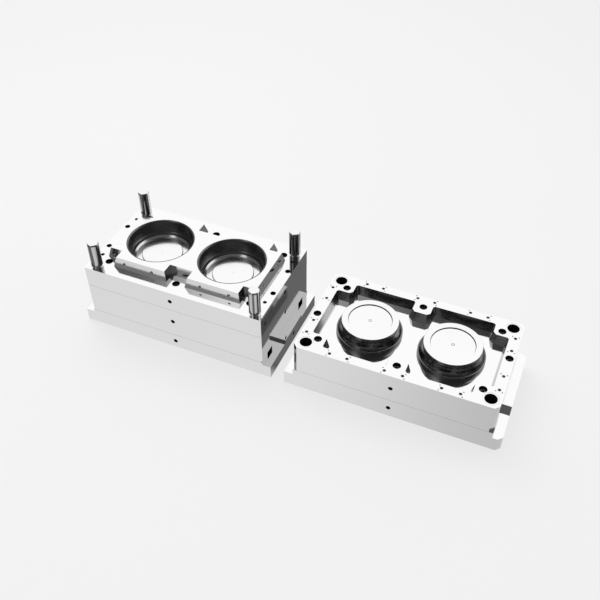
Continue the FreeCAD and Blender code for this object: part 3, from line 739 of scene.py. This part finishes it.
class MOULD_OT_holes(bpy.types.Operator):
    """Lines the tapped and drilled holes with near-black linings: painted shade inside them"""
    bl_idname = "mould.holes"
    bl_label = "Bores"

    def execute(self, context):
        for half, nodes, body in (
                ("cavity", ("cavity_plate", "manifold_plate", "cavity_clamp_plate"),
                 "cavity_half"),
                ("core", ("core_plate", "core_clamp_plate"), "core_half")):
            bm = bmesh.new()
            for node in nodes:
                low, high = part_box(node)
                middle = (low.x + high.x) / 2
                z = {"cavity_plate": PLATE_LOW.z + 0.035,
                     "manifold_plate": low.z + (high.z - low.z) * 0.54,
                     "cavity_clamp_plate": 0.027}.get(node, (low.z + high.z) / 2)
                end_z = 0.0297 if node == "cavity_clamp_plate" else z
                for spot, axis in (((middle, low.y, z), (0, -1, 0)),
                                   ((middle, high.y, z), (0, 1, 0)),
                                   ((low.x, 0, end_z), (-1, 0, 0)),
                                   ((high.x, 0, end_z), (1, 0, 0))):
                    tube(bm, Vector(spot) - Vector(axis) * SUNK, axis, LIFTING_BORE)
            close_piece(bm, half + "_lifting_bores", body, bore_shade_lining())
        bm = bmesh.new()
        for sx in (-1, 1):
            for sy in (-1, 1):
                tube(bm, (CAVITY_MIDDLE + sx * LOCK_AT[0], sy * LOCK_AT[1], RIM_Z - SUNK), UP,
                     LOCK_BORE)
                tube(bm, (CAVITY_MIDDLE + sx * DOWEL_AT[0], sy * DOWEL_AT[1], RIM_Z - SUNK), UP,
                     DOWEL_BORE, blind=False)
        for x, y in centres("cavity_plate_screws"):
            tube(bm, (x, y, RIM_Z - SUNK), UP, COUNTERBORE, blind=False)
        close_piece(bm, "rim_bores", "cavity_half", bore_shade_lining())
        bm = bmesh.new()
        for node, size in (("core_plate_screws", COUNTERBORE), ("pad_screws", PAD_COUNTERBORE)):
            for x, y in centres(node):
                tube(bm, (x, y, CORE_HIGH.z - SUNK), UP, size, blind=False)
        close_piece(bm, "face_bores", "core_half", bore_shade_lining())
        return {"FINISHED"}


class MOULD_OT_inner(bpy.types.Operator):
    """Finishes the inner pieces: manifold, nozzles, springs, seals and plugs"""
    bl_idname = "mould.inner"
    bl_label = "Inner pieces"

    def execute(self, context):
        steel = oxide_finish("inner_steel", (0.42, 0.42, 0.43), 0.35, 1.0)
        for node in ("manifold", "manifold_plugs", "manifold_supports", "sprue_bush",
                     "cavity_dowels"):
            paint(node, steel)
        alloy = oxide_finish("nozzle_alloy", (0.62, 0.38, 0.2), 0.3, 1.0)
        paint("hot_runner_nozzles", alloy)
        brass = oxide_finish("brass_fitting", (0.72, 0.52, 0.22), 0.28, 1.0)
        for node in ("cooling_plug", "core_baffles"):
            paint(node, brass)
        spring = oxide_finish("spring_steel", (0.35, 0.35, 0.37), 0.3, 1.0)
        for node in ("valve_spring_left", "valve_spring_right"):
            paint(node, spring)
        paint("core_seals", oxide_finish("seal_rubber", (0.02, 0.02, 0.02), 0.55, 0.0, 800))
        return {"FINISHED"}


class MOULD_OT_stage(bpy.types.Operator):
    """Sets the pale floor, the soft studio light and the camera"""
    bl_idname = "mould.stage"
    bl_label = "Stage"

    def execute(self, context):
        scene = context.scene
        scene.view_settings.view_transform = "Standard"
        bm = bmesh.new()
        bmesh.ops.create_grid(bm, x_segments=1, y_segments=1, size=14)
        bmesh.ops.translate(bm, verts=bm.verts, vec=(0, 0, -0.0002))
        mesh = bpy.data.meshes.new("studio_floor")
        bm.to_mesh(mesh)
        bm.free()
        floor = bpy.data.objects.new("studio_floor", mesh)
        scene.collection.objects.link(floor)
        material, graph = new_material("studio_floor")
        place, axes = graph.object_axes()
        speck = graph.noise(place, 40, (1, 1, 1), 3, 0.5)
        tone = graph.blend(speck, (0.86, 0.86, 0.86), (0.88, 0.88, 0.88))
        matt = graph.node("ShaderNodeBsdfPrincipled", None, {
            "Base Color": tone, "Roughness": 0.9})
        seen = graph.node("ShaderNodeLightPath", output="Is Camera Ray")
        mirrored = graph.node("ShaderNodeLightPath", output="Is Glossy Ray")
        glow = graph.node("ShaderNodeEmission", None, {
            "Color": (BACKDROP, BACKDROP, BACKDROP, 1), "Strength": 1.0})
        seen_floor = graph.node("ShaderNodeMixShader", None, {0: seen * 0.8, 1: matt, 2: glow})
        # Glossy rays see the floor as a glow with painted light: full brightness under and behind
        # the mould, dimmer in front and towards +X, and a painted shadow between the two halves.
        reflected_falloff = graph.spread(axes[0], 0.0, 0.75, 0.76, 0.54)
        before = reflected_falloff + graph.spread(axes[1], -0.18, -0.1) * (1.0 - reflected_falloff)
        gap_painted_shadow = graph.spread(abs(axes[0]), 0.06, 0.14, 1.0, 0.0) * graph.spread(
            axes[1], -0.17, -0.12)
        reflected_floor_glow = graph.node("ShaderNodeEmission", None, {
            "Color": graph.blend(before - gap_painted_shadow * 0.75, (0, 0, 0), (1, 1, 1)), "Strength": 1.0})
        graph.finish(graph.node("ShaderNodeMixShader", None, {0: mirrored, 1: seen_floor, 2: reflected_floor_glow}))
        mesh.materials.append(material)

        world = bpy.data.worlds.new("studio")
        scene.world = world
        world.use_nodes = True
        graph = Graph(world.node_tree)
        ray = graph.node("ShaderNodeTexCoord", output="Generated")
        parts = [graph.node("ShaderNodeSeparateXYZ", None, {0: ray}, i) for i in range(3)]
        toward = graph.spread(parts[1], 0.08, 0.4, 1.0, 0.0)
        high = graph.spread(parts[2], 0.28, 0.42)
        box = graph.spread(abs(parts[0] + 0.3), 0.05, 0.2, 1.0, 0.0) * toward * high
        behind = graph.spread(high, 0.0, 1.0, 0.2, 0.1)
        room = 1.05 * (1.0 - toward) + behind * toward
        light = graph.node("ShaderNodeMath", {"operation": "MAXIMUM"},
                           {0: room, 1: box * 0.9})
        shown = graph.node("ShaderNodeLightPath", output="Is Camera Ray")
        level = light * (1 - shown) + shown * ROOM
        sky = graph.node("ShaderNodeBackground", None, {"Color": (1, 1, 1, 1), "Strength": level})
        graph.node("ShaderNodeOutputWorld", None, {"Surface": sky})

        lamp = bpy.data.lights.new("key", "AREA")
        lamp.shape = "DISK"
        lamp.size = 2.5
        lamp.energy = 60
        key = bpy.data.objects.new("key", lamp)
        key.location = (-1.5, 1.0, 3.2)
        key.rotation_euler = (Vector((0, 0, 0)) - key.location).to_track_quat(
            "-Z", "Y").to_euler()
        key.visible_glossy = False
        scene.collection.objects.link(key)

        turn_by, tilt = math.radians(CAMERA_BEARING), math.radians(CAMERA_TILT)
        ahead = Vector((-math.sin(turn_by) * math.cos(tilt),
                        math.cos(turn_by) * math.cos(tilt), -math.sin(tilt)))
        camera = bpy.data.cameras.new("camera")
        camera.lens = CAMERA_LENS
        camera.sensor_width = CAMERA_SENSOR
        view = bpy.data.objects.new("camera", camera)
        view.location = CAMERA_AT
        view.rotation_euler = ahead.to_track_quat("-Z", "Y").to_euler()
        scene.collection.objects.link(view)
        scene.camera = view
        return {"FINISHED"}


OPERATORS = (MOULD_OT_plates, MOULD_OT_cavities, MOULD_OT_cores, MOULD_OT_rings,
             MOULD_OT_pillars, MOULD_OT_screws, MOULD_OT_holes, MOULD_OT_inner, MOULD_OT_stage)


class MOULD_PT_panel(bpy.types.Panel):
    """Lists the mould's pieces and finishes"""
    bl_idname = "MOULD_PT_panel"
    bl_label = "Mould base"
    bl_space_type = "VIEW_3D"
    bl_region_type = "UI"
    bl_category = "Mould"

    def draw(self, context):
        column = self.layout.column()
        for name in ("plate", "form", "pillar", "screw", "bore_shade"):
            column.prop(context.scene.mould_finish, name)
        column.prop(context.scene.mould_sizes, "skin")
        for operator in OPERATORS:
            column.operator(operator.bl_idname)


CLASSES = (MouldFinish, MouldSizes) + OPERATORS + (MOULD_PT_panel,)


def register():
    for item in CLASSES:
        bpy.utils.register_class(item)
    bpy.types.Scene.mould_finish = bpy.props.PointerProperty(type=MouldFinish)
    bpy.types.Scene.mould_sizes = bpy.props.PointerProperty(type=MouldSizes)


def unregister():
    del bpy.types.Scene.mould_sizes
    del bpy.types.Scene.mould_finish
    for item in reversed(CLASSES):
        bpy.utils.unregister_class(item)


def main():
    register()
    for operator in OPERATORS:
        group, name = operator.bl_idname.split(".")
        getattr(getattr(bpy.ops, group), name)()


if __name__ == "__main__":
    main()
